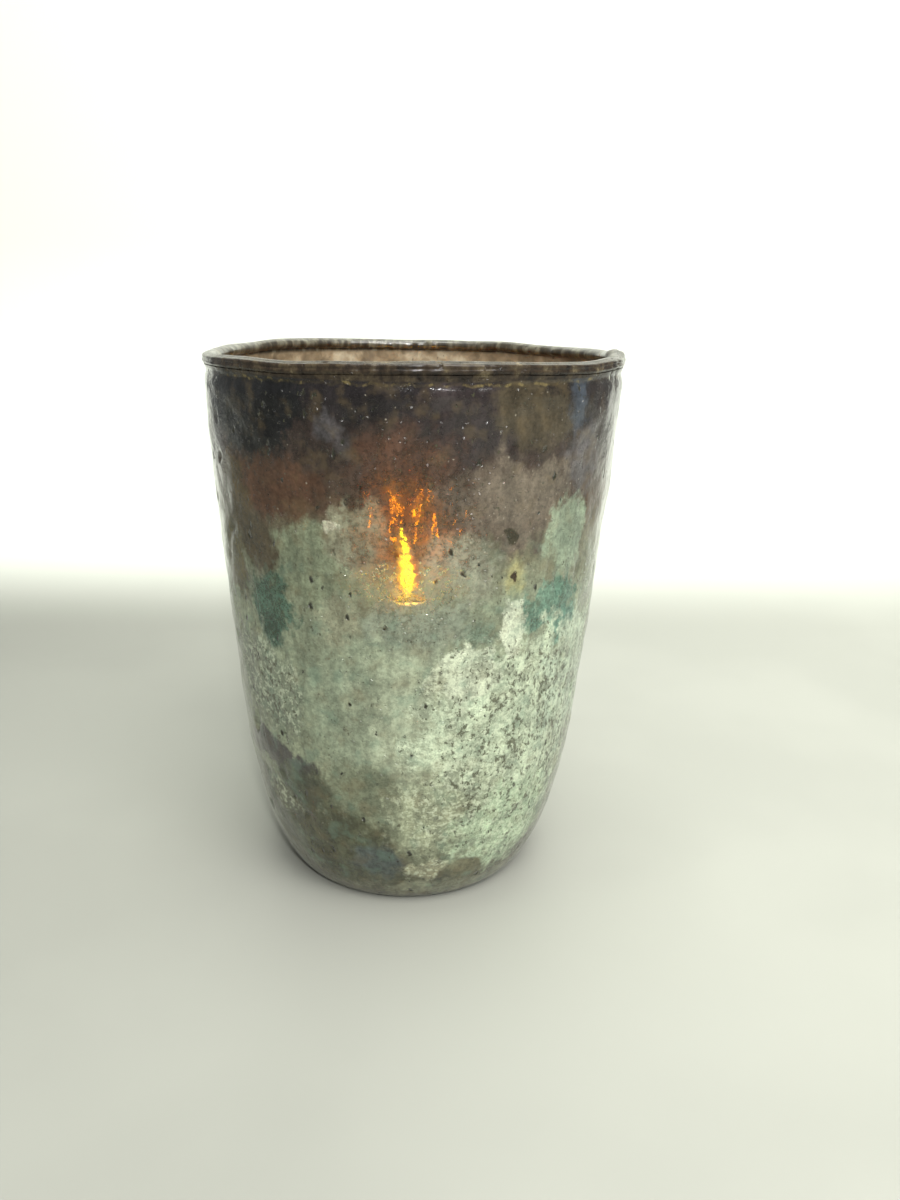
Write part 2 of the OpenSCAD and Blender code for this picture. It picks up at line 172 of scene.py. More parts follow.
class Recipe:
    """A node material built one step at a time. A step gives back the socket that it makes."""

    def __init__(self, name):
        self.material = bpy.data.materials.new(name)
        self.material.use_nodes = True
        self.tree = self.material.node_tree
        self.tree.nodes.clear()
        place = self.add("ShaderNodeTexCoord").outputs["Object"]
        self.place = self.vector("SCALE", place, scale=1000.0)
        self.height = self.add("ShaderNodeSeparateXYZ", {0: self.place}).outputs[2]

    def add(self, kind, values=None, **settings):
        node = self.tree.nodes.new(kind)
        for key, value in settings.items():
            setattr(node, key, value)
        for key, value in (values or {}).items():
            if isinstance(value, bpy.types.NodeSocket):
                self.tree.links.new(value, node.inputs[key])
            else:
                node.inputs[key].default_value = value
        return node

    def math(self, operation, first, second=0.0, clamp=False):
        node = self.add("ShaderNodeMath", {0: first, 1: second}, operation=operation)
        node.use_clamp = clamp
        return node.outputs[0]

    def times(self, first, second, clamp=False):
        return self.math("MULTIPLY", first, second, clamp)

    def plus(self, first, second):
        return self.math("ADD", first, second)

    def minus(self, first, second):
        return self.math("SUBTRACT", first, second)

    def larger(self, first, second):
        return self.math("MAXIMUM", first, second)

    def rest(self, value):
        """What is left of 1."""
        return self.minus(1.0, value)

    def vector(self, operation, first, second=(0, 0, 0), third=(0, 0, 0), scale=None):
        values = {0: first, 1: second, 2: third}
        if scale is not None:
            values["Scale"] = scale
        node = self.add("ShaderNodeVectorMath", values, operation=operation)
        return node.outputs["Value" if operation == "LENGTH" else "Vector"]

    def mix(self, share, first, second, blend="MIX"):
        node = self.add("ShaderNodeMix", {0: share, 6: first, 7: second}, data_type="RGBA")
        node.blend_type = blend
        return node.outputs[2]

    def between(self, share, first, second):
        node = self.add("ShaderNodeMix", {0: share, 2: first, 3: second}, data_type="FLOAT")
        return node.outputs[0]

    def step(self, value, low, high, start=0.0, end=1.0):
        """Rises smoothly from start to end as value goes from low to high."""
        values = {0: value, 1: low, 2: high, 3: start, 4: end}
        node = self.add("ShaderNodeMapRange", values, interpolation_type="SMOOTHSTEP")
        return node.outputs[0]

    def noise(self, size, detail=2.0, roughness=0.5, place=None, stretch=None, colour=False):
        """Cloudy pattern whose features are about size millimetres across."""
        where = place or self.place
        if stretch:
            where = self.vector("MULTIPLY", where, stretch)
        values = {"Vector": where, "Scale": 1.0 / size, "Detail": detail, "Roughness": roughness}
        node = self.add("ShaderNodeTexNoise", values)
        return node.outputs["Color" if colour else "Fac"]

    def cells(self, size, place=None, stretch=None, feature="F1"):
        """Voronoi cells about size millimetres across: distance and a random value each."""
        where = place or self.place
        if stretch:
            where = self.vector("MULTIPLY", where, stretch)
        node = self.add("ShaderNodeTexVoronoi", {"Vector": where, "Scale": 1.0 / size},
                        feature=feature)
        chance = self.add("ShaderNodeSeparateColor", {0: node.outputs["Color"]})
        return node.outputs["Distance"], chance.outputs[0], chance.outputs[1]

    def ramp(self, share, stops):
        node = self.add("ShaderNodeValToRGB", {0: share})
        steps = node.color_ramp.elements
        steps[0].position, steps[0].color = stops[0]
        steps[1].position, steps[1].color = stops[-1]
        for position, colour in stops[1:-1]:
            steps.new(position).color = colour
        return node.outputs[0]

    def warped(self, size, amount, place=None, detail=2.0, stretch=None):
        """The place pushed about by a cloudy pattern, so that outlines turn irregular."""
        push = self.noise(size, detail, 0.6, place=place, stretch=stretch, colour=True)
        push = self.vector("SUBTRACT", push, (0.5, 0.5, 0.5))
        push = self.vector("SCALE", push, scale=amount)
        return self.vector("ADD", place or self.place, push)

    def bump(self, height, distance, strength=1.0):
        values = {"Height": height, "Distance": distance, "Strength": strength}
        return self.add("ShaderNodeBump", values).outputs[0]

    def surface(self, shader):
        output = self.add("ShaderNodeOutputMaterial")
        self.tree.links.new(shader, output.inputs[0])
        return self.material

    def principled(self, **values):
        names = {key.replace("_", " "): value for key, value in values.items()}
        return self.add("ShaderNodeBsdfPrincipled", names).outputs[0]


# The coating's patches: kind, degrees round from the front, height, half width, half height
# (millimetres), softness of the edge and colour. Later patches lie over earlier ones.
FILM, CLEAR, CRUST = "film", "clear", "crust"
FRONT_PATCHES = (
    (FILM, -12, 158, 34, 7, 0.5, (36, 32, 33)),
    (FILM, 14, 150, 18, 12, 0.6, (50, 43, 43)),
    (FILM, -45, 153, 21, 13, 0.3, (26, 26, 27)),
    (FILM, -19, 150, 5, 3, 0.8, (74, 71, 72)),
    (FILM, -14, 145, 3.5, 5, 0.8, (78, 74, 74)),
    (FILM, -9, 139, 4, 4, 0.9, (104, 96, 92)),
    (FILM, -40, 132, 20, 9, 0.5, (84, 60, 45)),
    (FILM, -54, 126, 8, 14, 0.6, (78, 66, 44)),
    (FILM, -2, 140, 13, 10, 0.8, (82, 60, 48)),
    (FILM, 31, 153, 14, 10, 0.6, (72, 64, 50)),
    (FILM, 45, 154, 4, 10, 0.7, (66, 72, 80)),
    (FILM, 48, 140, 8, 10, 0.6, (92, 88, 88)),
    (FILM, 24, 128, 22, 12, 0.45, (94, 84, 72)),
    (FILM, 31, 131, 14, 7, 0.9, (112, 102, 88)),
    (FILM, -27, 112, 13, 12, 0.4, (122, 130, 106)),
    (FILM, -13, 120, 8, 10, 0.5, (134, 134, 112)),
    (FILM, 12, 112, 12, 9, 0.5, (140, 142, 122)),
    (FILM, -58, 108, 7, 13, 0.5, (88, 82, 56)),
    (FILM, -46, 116, 7, 9, 0.5, (76, 68, 52)),
    (CLEAR, -42, 98, 9, 11, 0.35, (82, 108, 92)),
    (CLEAR, 42, 99, 11, 8, 0.3, (112, 146, 126)),
    (CLEAR, 51, 89, 7, 9, 0.35, (108, 148, 130)),
    (CLEAR, 17, 93, 6, 5, 0.5, (122, 140, 120)),
    (FILM, 46, 119, 8, 11, 0.4, (140, 154, 130)),
    (FILM, 1, 96, 16, 10, 0.6, (128, 136, 118)),
    (FILM, -20, 96, 8, 10, 0.5, (140, 142, 118)),
    (FILM, -16, 72, 20, 20, 0.6, (136, 146, 123)),
    (FILM, 4, 66, 18, 24, 1.0, (164, 172, 146)),
    (CRUST, -50, 74, 15, 15, 0.35, (132, 142, 120)),
    (CRUST, 36, 58, 31, 35, 0.3, (192, 205, 176)),
    (CRUST, 29, 94, 6, 9, 0.25, (200, 207, 182)),
    (CRUST, 17, 82, 8, 8, 0.25, (196, 204, 178)),
    (CRUST, 8, 80, 4, 5, 0.3, (190, 196, 168)),
    (CRUST, 60, 74, 16, 22, 0.3, (182, 197, 172)),
    (FILM, -50, 49, 18, 6, 0.4, (74, 72, 68)),
    (FILM, -37, 41, 12, 8, 0.5, (80, 84, 66)),
    (FILM, -30, 24, 20, 16, 0.5, (78, 80, 60)),
    (FILM, -58, 26, 12, 16, 0.5, (88, 92, 76)),
    (CRUST, -48, 34, 8, 6, 0.7, (104, 108, 86)),
    (FILM, -13, 44, 12, 10, 0.6, (112, 118, 96)),
    (FILM, -12, 18, 9, 8, 0.7, (80, 88, 84)),
    (CRUST, 12, 36, 15, 15, 0.9, (166, 172, 142)),
    (CRUST, 38, 28, 19, 17, 0.6, (182, 201, 168)),
    (CRUST, 8, 15, 8, 5, 0.4, (160, 160, 132)),
    (FILM, 25, 12, 7, 3, 0.6, (112, 110, 86)),
    (FILM, 20, 6, 30, 3, 0.6, (128, 130, 108)),
    (FILM, 28, 110, 4, 5.5, 0.8, (156, 152, 108)),
    (FILM, 28, 110, 1.5, 2.4, 0.5, (52, 38, 20)),
    (FILM, 25.5, 121, 2.6, 1.9, 0.5, (50, 46, 32)),
    (CRUST, -19, 122, 3.0, 2.4, 0.4, (180, 176, 154)),
    (FILM, -23, 86, 1.6, 2.4, 0.8, (100, 74, 54)),
)
BACK_STYLES = (
    (FILM, (118, 160), (10, 24), (8, 16), (60, 50, 46)),
    (FILM, (120, 144), (8, 16), (6, 12), (92, 68, 50)),
    (CRUST, (36, 82), (18, 28), (16, 28), (186, 199, 171)),
    (CLEAR, (84, 112), (6, 12), (5, 10), (108, 142, 124)),
    (CRUST, (12, 60), (8, 16), (6, 12), (150, 156, 126)),
    (FILM, (10, 46), (10, 20), (6, 14), (80, 80, 62)),
    (FILM, (60, 120), (8, 16), (8, 16), (128, 134, 112)),
)


def share(seed, step):
    """A repeatable value from 0 to 1 for a seed and a step."""
    return (math.sin(seed * 12.9898 + step * 78.233) * 43758.5453) % 1.0


def back_patches():
    """Patches for the sides and the back, in the same families as the front's."""
    patches = []
    for turn in range(4):
        for style, (kind, heights, widths, talls, colour) in enumerate(BACK_STYLES):
            seed = 7 * turn + style
            degrees = 76 + 52 * (turn + share(seed, 1))
            height = heights[0] + (heights[1] - heights[0]) * share(seed, 2)
            wide = widths[0] + (widths[1] - widths[0]) * share(seed, 3)
            tall = talls[0] + (talls[1] - talls[0]) * share(seed, 4)
            patches.append((kind, degrees, height, wide, tall, 0.5, colour))
    return patches


def wall_radius(height):
    """Outer radius of the glass at a height, as the CAD model has it."""
    glass = bpy.context.scene.holder_glass
    up = max(0.0, 1 - height / GLASS_H)
    heel = max(0.0, 1 - height / glass.heel_height)
    turned_in = glass.heel_width * (1 - math.sqrt(max(0.0, 1 - heel * heel)))
    return RIM_R - 0.2 * MM - glass.taper * up ** 1.3 - turned_in


def patch_share(recipe, place, patch, ragged=0.0):
    """How far a place lies inside a patch: 1 in its middle, 0 outside."""
    _, degrees, height, wide, tall, soft, _ = patch
    radius = wall_radius(height * MM) / MM
    turn = math.radians(degrees)
    middle = Vector((radius * math.sin(turn), -radius * math.cos(turn), height))
    size = Vector((1 / wide, 1 / wide, 1 / tall))
    shift = Vector([-m * s for m, s in zip(middle, size)])
    inside = recipe.vector("MULTIPLY_ADD", place, size, shift)
    distance = recipe.vector("LENGTH", inside)
    if ragged:
        distance = recipe.plus(distance, ragged)
    return recipe.step(distance, 1 + 0.4 * soft, 1 - 0.6 * soft)


def coating(recipe):
    """Colour, clear share, crust share and raggedness of the aged coating on the outside."""
    loose = recipe.warped(17, 15, detail=3, stretch=(1.0, 1.0, 0.7))
    place = recipe.warped(4.5, 5, place=loose, detail=5)
    height = recipe.add("ShaderNodeSeparateXYZ", {0: place}).outputs[2]
    ragged = recipe.noise(5, detail=6, roughness=0.68, stretch=(1.0, 1.0, 0.8))
    ragged = recipe.times(recipe.minus(ragged, 0.5), 1.7)
    colour = recipe.ramp(recipe.math("DIVIDE", height, GLASS_H / MM), [
        (0.0, srgb(100, 98, 82)),
        (0.06, srgb(94, 95, 76)),
        (0.2, srgb(126, 132, 108)),
        (0.42, srgb(142, 150, 125)),
        (0.62, srgb(134, 142, 118)),
        (0.70, srgb(112, 112, 90)),
        (0.77, srgb(84, 68, 54)),
        (0.86, srgb(58, 48, 43)),
        (1.0, srgb(36, 33, 33)),
    ])
    clear = crust = 0.0
    for patch in (*FRONT_PATCHES, *back_patches()):
        inside = patch_share(recipe, place, patch, ragged)
        colour = recipe.mix(inside, colour, srgb(*patch[-1]))
        if patch[0] == CLEAR:
            clear = recipe.larger(inside, clear)
        elif patch[0] == CRUST:
            crust = recipe.larger(inside, crust)
            clear = recipe.times(clear, recipe.rest(inside))
        elif patch[3] > 5:
            keep = recipe.rest(inside)
            clear = recipe.times(clear, keep)
            crust = recipe.times(crust, keep)
    return colour, clear, crust, ragged


def pits(recipe, size, stretch, density, least, most):
    """Dents: a share of the cells holds one, of a radius from least to most of a cell."""
    place = recipe.warped(size * 0.6, size * 0.6)
    distance, chance, girth = recipe.cells(size, place=place, stretch=stretch)
    present = recipe.math("LESS_THAN", chance, density)
    reach = recipe.between(girth, least, most)
    dent = recipe.step(distance, reach, recipe.times(reach, 0.2))
    return recipe.times(dent, present)


def chips(recipe, size, density):
    """Small flat chips in the skin that lean back, each its own way: some catch the light."""
    place = recipe.warped(size * 1.5, size)
    cell = recipe.add("ShaderNodeTexVoronoi", {"Vector": place, "Scale": 1.0 / size})
    away = recipe.vector("SUBTRACT", place, cell.outputs["Position"])
    lean = recipe.vector("MULTIPLY_ADD", cell.outputs["Color"], (3.0, 3.0, 1.6), (-1.5, -1.5, -2.2))
    tilt = recipe.add("ShaderNodeVectorMath", {0: away, 1: lean}, operation="DOT_PRODUCT").outputs[1]
    chance = recipe.add("ShaderNodeSeparateColor", {0: cell.outputs["Color"]}).outputs[2]
    present = recipe.math("LESS_THAN", chance, density)
    flat = recipe.step(cell.outputs["Distance"], 0.34, 0.26)
    return recipe.times(tilt, recipe.times(flat, present))


def grey_of(recipe, value):
    """A grey colour from a single value."""
    return recipe.add("ShaderNodeCombineColor", {0: value, 1: value, 2: value}).outputs[0]


def patina_material():
    """Aged coating under clear glass: dark film, clear windows, pitted crust and dents."""
    recipe = Recipe("patina_glass")
    colour, clear, crust, ragged = coating(recipe)
    height = recipe.height

    broad = recipe.noise(9, detail=3)
    streaks = recipe.noise(3.5, detail=3, stretch=(1.0, 1.0, 0.13))
    fine = recipe.noise(1.6, detail=5, roughness=0.7)
    grain = recipe.noise(0.6, detail=3, roughness=0.75)
    shade = recipe.step(broad, 0.32, 0.68, 0.8, 1.14)
    shade = recipe.times(shade, recipe.step(streaks, 0.3, 0.7, 0.8, 1.16))
    shade = recipe.times(shade, recipe.step(fine, 0.36, 0.64, 0.8, 1.16))
    rough_grain = recipe.step(grain, 0.3, 0.7, 0.72, 1.2)
    grain_shade = recipe.between(crust, recipe.step(grain, 0.3, 0.7, 0.88, 1.1), rough_grain)
    shade = recipe.times(shade, grain_shade)
    colour = recipe.mix(1.0, colour, grey_of(recipe, shade), blend="MULTIPLY")

    tint = recipe.noise(6, detail=4)
    warm = recipe.step(tint, 0.5, 0.7, 0.0, 0.28)
    colour = recipe.mix(warm, colour, srgb(112, 96, 68))
    cool = recipe.step(tint, 0.46, 0.3, 0.0, 0.35)
    colour = recipe.mix(recipe.times(cool, recipe.step(height, 130, 100)), colour,
                        srgb(108, 134, 116))

    cloud = recipe.noise(7, detail=5, roughness=0.65)
    worn = recipe.times(recipe.step(cloud, 0.52, 0.64), crust)
    colour = recipe.mix(recipe.times(worn, 0.7), colour, srgb(128, 134, 114))
    bright = recipe.times(recipe.step(fine, 0.51, 0.58), crust)
    colour = recipe.mix(recipe.times(bright, 0.5), colour, srgb(206, 214, 186))

    # Light flecks in the upper coating and low at the left: partly the coating's own flecks, partly
    # painted glints in the dark film.
    scatter = patch_share(recipe, recipe.place, (CRUST, 26, 127, 26, 15, 0.7, None))
    low_left = patch_share(recipe, recipe.place, (CRUST, -45, 30, 22, 14, 0.8, None))
    scatter = recipe.larger(scatter, low_left)
    fleck_and_glint_share = recipe.plus(recipe.times(scatter, 0.6), 0.12)
    flecks_and_painted_glints = pits(recipe, 1.2, (1.0, 1.0, 0.9), fleck_and_glint_share, 0.05, 0.34)
    flecks_and_painted_glints = recipe.times(flecks_and_painted_glints, recipe.step(fine, 0.4, 0.62))
    allowed = recipe.larger(low_left, recipe.step(height, 50, 110))
    flecks_and_painted_glints = recipe.times(flecks_and_painted_glints, allowed)
    colour = recipe.mix(recipe.times(flecks_and_painted_glints, 0.6), colour, srgb(186, 178, 160))

    dense = patch_share(recipe, recipe.place, (CRUST, 40, 56, 26, 32, 0.7, None))
    dense_left = patch_share(recipe, recipe.place, (CRUST, -52, 66, 17, 24, 0.7, None))
    dense = recipe.larger(dense, dense_left)
    density = recipe.plus(recipe.times(crust, 0.3), 0.14)
    density = recipe.plus(density, recipe.times(dense, 0.4))
    lace = recipe.noise(1.5, detail=5, roughness=0.75, stretch=(1.0, 1.0, 0.8))
    over_flame = patch_share(recipe, recipe.place, (FILM, 0, 126, 11, 14, 1.0, None))
    density = recipe.plus(density, recipe.times(over_flame, 0.6))
    level = recipe.step(cloud, 0.36, 0.62, 0.695, 0.63)
    level = recipe.plus(level, recipe.times(density, -0.13))
    specks = recipe.step(recipe.minus(lace, level), 0.0, 0.022)
    holes = pits(recipe, 3.4, (1.0, 1.0, 0.55), 0.4, 0.08, 0.3)
    dents = recipe.larger(specks, recipe.times(holes, 1.3, clamp=True))
    colour = recipe.mix(recipe.times(specks, 0.8), colour, srgb(76, 76, 56))
    colour = recipe.mix(recipe.times(holes, 1.2, clamp=True), colour, srgb(44, 44, 32))

    lip_z = GLASS_H / MM - 4.2
    lip = recipe.step(height, lip_z - 0.5, lip_z + 0.3)
    lip_cloud = recipe.noise(3.2, detail=5, roughness=0.65, stretch=(1.0, 1.0, 0.8))
    lip_colour = recipe.ramp(lip_cloud, [
        (0.34, srgb(32, 27, 23)),
        (0.5, srgb(54, 45, 36)),
        (0.62, srgb(78, 68, 52)),
        (0.74, srgb(128, 116, 90)),
    ])
    colour = recipe.mix(lip, colour, lip_colour)
    groove = recipe.minus(height, lip_z - 0.9)
    groove = recipe.plus(groove, recipe.step(streaks, 0.3, 0.7, -0.4, 0.4))
    groove = recipe.step(recipe.math("ABSOLUTE", groove), 0.6, 0.1)
    groove = recipe.times(groove, recipe.step(lip_cloud, 0.48, 0.66, 0.05, 0.6))
    colour = recipe.mix(groove, colour, srgb(146, 130, 84))

    near = patch_share(recipe, recipe.place, (CLEAR, 0, 120, 20, 25, 0.8, None))
    through = recipe.between(near, 0.04, 0.26)
    through = recipe.times(through, recipe.step(fine, 0.4, 0.58, 1.6, 0.15))
    # A small clear spot in the coating in front of the wax rim's painted glow, so that the glow shows
    # through.
    clear_spot_over_rim_glow = patch_share(recipe, recipe.place, (CLEAR, 0, 104.3, 5.5, 1.8, 0.6, None))
    through = recipe.plus(through, recipe.times(clear, 0.22))
    through = recipe.larger(through, recipe.times(clear_spot_over_rim_glow, 0.6))
    shut = recipe.rest(recipe.times(crust, 0.8))
    through = recipe.times(through, shut)
    through = recipe.times(through, recipe.rest(dents))
    pinholes = recipe.noise(1.1, detail=3, roughness=0.6)
    through = recipe.times(through, recipe.step(pinholes, 0.56, 0.53, 0.06, 1.0))
    through = recipe.times(through, recipe.rest(lip), clamp=True)

    relief = recipe.times(holes, -1.3)
    relief = recipe.minus(relief, recipe.times(specks, 0.4))
    relief = recipe.plus(relief, recipe.times(fine, recipe.between(crust, 0.3, 1.2)))
    relief = recipe.plus(relief, recipe.times(broad, 1.8))
    relief = recipe.plus(relief, chips(recipe, 1.3, recipe.step(cloud, 0.4, 0.6, 0.06, 0.3)))
    normal = recipe.bump(relief, bpy.context.scene.holder_glass.relief)

    roughness = recipe.between(crust, 0.25, 0.55)
    frosted = recipe.times(near, 0.15)
    skin = recipe.principled(Base_Color=colour, Roughness=roughness, Normal=normal,
                             Transmission_Weight=frosted,
                             Coat_Weight=recipe.between(lip, 1.0, 0.5),
                             Coat_Roughness=0.06, Coat_IOR=1.38,
                             Coat_Normal=normal, IOR=1.2)
    glow = patch_share(recipe, recipe.place, (FILM, -1, 122, 11, 19, 1.0, None), ragged)
    glow = recipe.times(glow, recipe.step(fine, 0.34, 0.6, 0.1, 0.6))
    glow = recipe.times(glow, recipe.step(tint, 0.36, 0.6, 0.3, 1.0))
    lit = recipe.add("ShaderNodeBsdfTranslucent", {0: (0.95, 0.4, 0.13, 1.0)}).outputs[0]
    skin = recipe.add("ShaderNodeMixShader", {0: glow, 1: skin, 2: lit}).outputs[0]
    window = recipe.add("ShaderNodeBsdfTransparent", {0: (0.72, 0.86, 0.78, 1.0)}).outputs[0]
    mixed = recipe.add("ShaderNodeMixShader", {0: through, 1: skin, 2: window}).outputs[0]
    return recipe.surface(mixed)


def silvering_material():
    """Taupe and gold silvering on the inside, rippled so that it breaks up the flame's image."""
    recipe = Recipe("inner_silvering")
    place = recipe.warped(9, 8, detail=3)
    cloud = recipe.noise(6, detail=5, place=place)
    colour = recipe.ramp(cloud, [
        (0.3, srgb(84, 74, 60)),
        (0.46, srgb(122, 108, 86)),
        (0.58, srgb(150, 136, 112)),
        (0.72, srgb(184, 174, 150)),
    ])
    fine = recipe.noise(1.4, detail=4, roughness=0.7)
    specks = pits(recipe, 2.4, (1.0, 1.0, 0.8), 0.45, 0.1, 0.4)
    colour = recipe.mix(recipe.times(specks, 0.7), colour, srgb(70, 58, 42))
    high = recipe.step(recipe.height, 126, 142)
    amber = recipe.times(recipe.step(recipe.height, 128, 118), 0.8)
    colour = recipe.mix(amber, colour, srgb(228, 150, 72))
    rim = recipe.step(recipe.height, GLASS_H / MM - 4.4, GLASS_H / MM - 3.2)
    streaks = recipe.noise(2.0, detail=3, stretch=(1.0, 1.0, 0.25))
    rim_colour = recipe.ramp(streaks, [
        (0.34, srgb(40, 35, 28)),
        (0.5, srgb(66, 60, 48)),
        (0.66, srgb(112, 108, 92)),
    ])
    colour = recipe.mix(rim, colour, rim_colour)
    ripples = recipe.noise(11, detail=2, stretch=(1.0, 1.0, 0.4))
    relief = recipe.times(ripples, 4.0)
    relief = recipe.plus(relief, recipe.times(fine, 0.12))
    normal = recipe.bump(relief, bpy.context.scene.holder_glass.relief)
    skin = recipe.principled(Base_Color=colour, Roughness=recipe.between(high, 0.09, 0.3),
                             Metallic=recipe.between(high, 0.95, 0.0), Normal=normal,
                             Coat_Weight=0.5, Coat_Roughness=0.05)
    front = patch_share(recipe, place, (CLEAR, 0, 118, 48, 34, 0.5, None))
    through = recipe.between(front, 0.1, recipe.step(cloud, 0.34, 0.62, 0.75, 0.5))
    through = recipe.times(through, recipe.step(recipe.height, 152, 140))
    window = recipe.add("ShaderNodeBsdfTransparent", {0: (0.85, 0.93, 0.88, 1.0)}).outputs[0]
    mixed = recipe.add("ShaderNodeMixShader", {0: through, 1: skin, 2: window}).outputs[0]
    return recipe.surface(mixed)


def wax_material():
    """Ivory wax: cloudy, faintly pitted, with a painted warm glow round its top and a painted bright
    spot on the front of its rim, where the flame would light it.
    """
    recipe = Recipe("ivory_wax")
    colour = (*bpy.context.scene.holder_wax.colour, 1.0)
    cloud = recipe.noise(11, detail=3)
    bloom = recipe.noise(2.2, detail=3)
    base = recipe.mix(recipe.step(cloud, 0.35, 0.65, 0.0, 0.35), colour, srgb(246, 238, 218))
    base = recipe.mix(recipe.step(bloom, 0.55, 0.72, 0.0, 0.2), base, srgb(214, 198, 162))
    fine = recipe.noise(0.7, detail=3)
    relief = recipe.plus(cloud, recipe.times(fine, 0.2))
    # Painted light: emission glows round the top of the wax and in a spot on the front of its rim.
    near = recipe.vector("SUBTRACT", recipe.place, (0, 0, WAX_TOP / MM))
    glow = recipe.step(recipe.vector("LENGTH", near), 30, 5, 0.0, 0.3)
    painted_rim_glow = recipe.vector("SUBTRACT", recipe.place, (0, -WAX_R / MM + 1.5, WAX_TOP / MM))
    painted_rim_glow = recipe.vector("MULTIPLY", painted_rim_glow, (1.0, 1.0, 4.0))
    glow = recipe.plus(glow, recipe.step(recipe.vector("LENGTH", painted_rim_glow), 6, 3, 0.0, 6.0))
    shader = recipe.principled(Base_Color=base, Roughness=recipe.step(bloom, 0.3, 0.7, 0.36, 0.52),
                               Normal=recipe.bump(relief, 0.12 * MM), IOR=1.43,
                               Subsurface_Weight=0.25, Subsurface_Scale=3 * MM,
                               Emission_Color=(1.0, 0.42, 0.1, 1.0), Emission_Strength=glow)
    return recipe.surface(shader)


def flame_material():
    """Lit plastic: a yellow middle that turns orange towards the edge and dims at the foot."""
    flame = bpy.context.scene.holder_flame
    recipe = Recipe("lit_flame")
    foot, tip = SWAY_Z / MM, PADDLE_HIGH[2] / MM
    across, _, height = recipe.add("ShaderNodeSeparateXYZ", {0: recipe.place}).outputs
    up = recipe.math("DIVIDE", recipe.minus(height, foot), tip - foot, clamp=True)
    bend = recipe.times(recipe.math("POWER", up, 1.6), flame.lean / MM)
    off = recipe.math("ABSOLUTE", recipe.plus(across, bend))
    half = recipe.ramp(up, [
        (0.0, (0.15, 0.15, 0.15, 1)),
        (0.3, (1.0, 1.0, 1.0, 1)),
        (0.65, (0.72, 0.72, 0.72, 1)),
        (1.0, (0.2, 0.2, 0.2, 1)),
    ])
    half = recipe.times(half, flame.half_width / MM)
    out = recipe.math("DIVIDE", off, half)
    cloud = recipe.noise(2.2, detail=2)
    out = recipe.plus(out, recipe.step(cloud, 0.3, 0.7, -0.12, 0.12))
    middle = recipe.step(out, 0.95, 0.35)
    colour = recipe.mix(middle, (*flame.edge, 1.0), (*flame.core, 1.0))
    foot_share = recipe.step(up, 0.1, 0.24)
    tip_share = recipe.step(up, 1.0, 0.78, 0.35, 1.0)
    power = recipe.between(middle, 0.12, 1.0)
    power = recipe.times(power, recipe.times(foot_share, tip_share))
    power = recipe.times(power, flame.strength)
    shader = recipe.principled(Base_Color=srgb(232, 196, 140), Roughness=0.4,
                               Normal=recipe.bump(cloud, 0.1 * MM),
                               Emission_Color=colour, Emission_Strength=power)
    return recipe.surface(shader)


def plastic_material(name, colour, roughness, size=0.6, depth=0.03):
    """Moulded plastic with a fine spark-eroded texture and a slight cloudiness."""
    recipe = Recipe(name)
    grain = recipe.noise(size, detail=3, roughness=0.6)
    cloud = recipe.noise(14, detail=2)
    dark = tuple(channel * 0.82 for channel in colour[:3]) + (1.0,)
    base = recipe.mix(recipe.step(cloud, 0.3, 0.7), colour, dark)
    rough = recipe.step(grain, 0.3, 0.7, roughness - 0.06, roughness + 0.08)
    shader = recipe.principled(Base_Color=base, Roughness=rough,
                               Normal=recipe.bump(grain, depth * MM))
    return recipe.surface(shader)


def metal_material(name, colour, roughness, stretch=(1.0, 1.0, 0.08)):
    """Plated metal with fine drawing marks and dull places."""
    recipe = Recipe(name)
    marks = recipe.noise(0.25, detail=3, stretch=stretch)
    cloud = recipe.noise(5, detail=3)
    dull = tuple(channel * 0.7 for channel in colour[:3]) + (1.0,)
    base = recipe.mix(recipe.step(cloud, 0.4, 0.75, 0.0, 0.7), colour, dull)
    rough = recipe.step(marks, 0.3, 0.7, roughness - 0.05, roughness + 0.12)
    shader = recipe.principled(Base_Color=base, Roughness=rough, Metallic=1.0,
                               Normal=recipe.bump(marks, 0.01 * MM))
    return recipe.surface(shader)


def board_material():
    """Solder mask over copper tracks, with tinned pads round the holes."""
    recipe = Recipe("circuit_board")
    tracks = recipe.add("ShaderNodeTexWave", {"Vector": recipe.warped(9, 6), "Scale": 0.16,
                                              "Distortion": 1.5, "Detail": 0.0})
    track = recipe.step(tracks.outputs["Fac"], 0.6, 0.68)
    base = recipe.mix(track, srgb(16, 62, 34), srgb(34, 96, 52))
    distance, chance, _ = recipe.cells(3.2)
    pad = recipe.step(distance, 0.2, 0.16)
    pad = recipe.times(pad, recipe.math("LESS_THAN", chance, 0.3))
    base = recipe.mix(pad, base, srgb(196, 194, 186))
    relief = recipe.plus(track, pad)
    shader = recipe.principled(Base_Color=base, Roughness=recipe.between(pad, 0.35, 0.25),
                               Metallic=pad, Normal=recipe.bump(relief, 0.03 * MM))
    return recipe.surface(shader)


